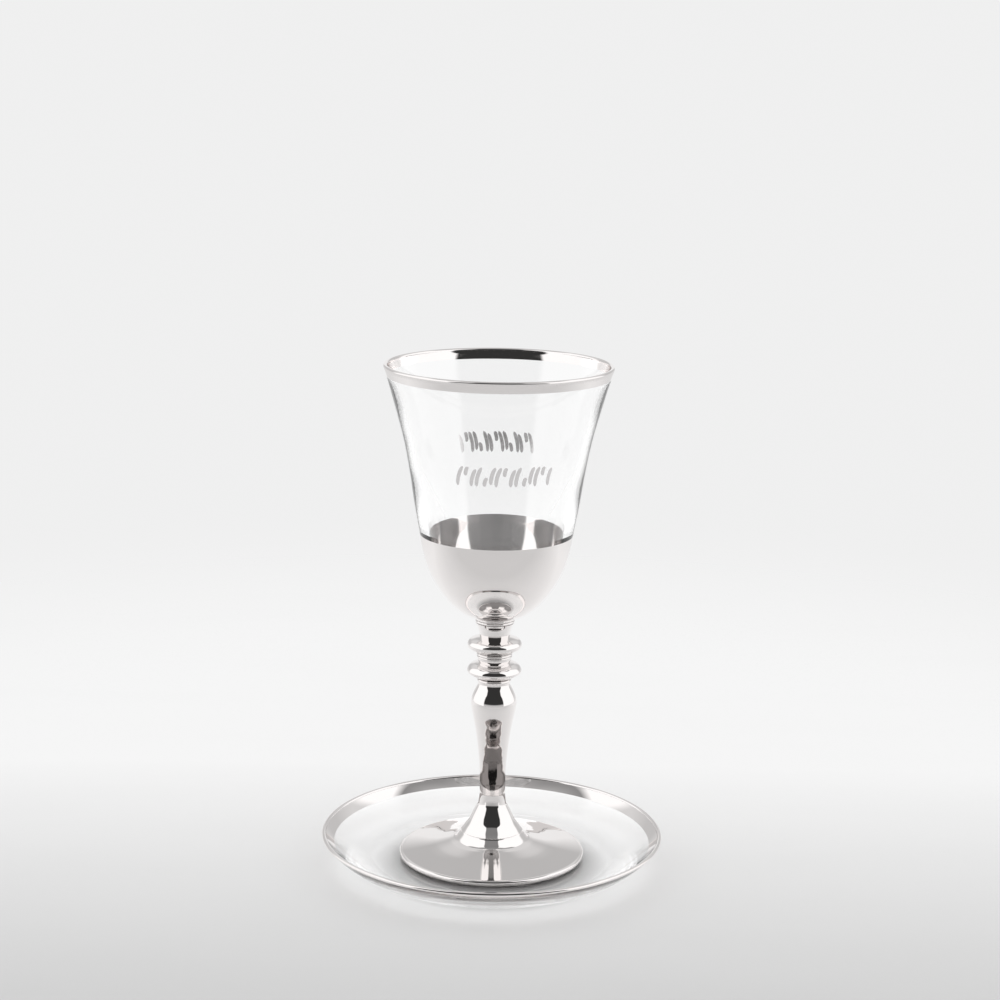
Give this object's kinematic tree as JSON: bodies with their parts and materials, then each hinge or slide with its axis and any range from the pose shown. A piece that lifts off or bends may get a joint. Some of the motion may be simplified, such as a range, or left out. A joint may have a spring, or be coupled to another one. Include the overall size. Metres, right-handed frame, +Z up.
{
  "type": "kiddush cup with saucer",
  "caption": "Stemmed glass wine cup for a blessing, with a mirror-silvered lower bowl, knopped stem and disc foot, standing on a clear glass saucer with a silver rim.",
  "frame": {"origin": "centre of the saucer's flat underside, where the set stands on a table", "axes": "+Z up along the turning axis of the cup and the saucer; -Y is the side with the front printed row"},
  "size_m": [0.1266, 0.1266, 0.1883],
  "materials": {
    "silvered_glass": "mirror-silvered outside on the lower bowl, stem and foot, with a silver band at the rim; clear glass between them",
    "clear_glass": "polished clear glass with a silver band on the rim"
  },
  "bodies": {
    "root": {"goblet": "silvered_glass", "saucer": "clear_glass"}
  },
  "joints": []
}
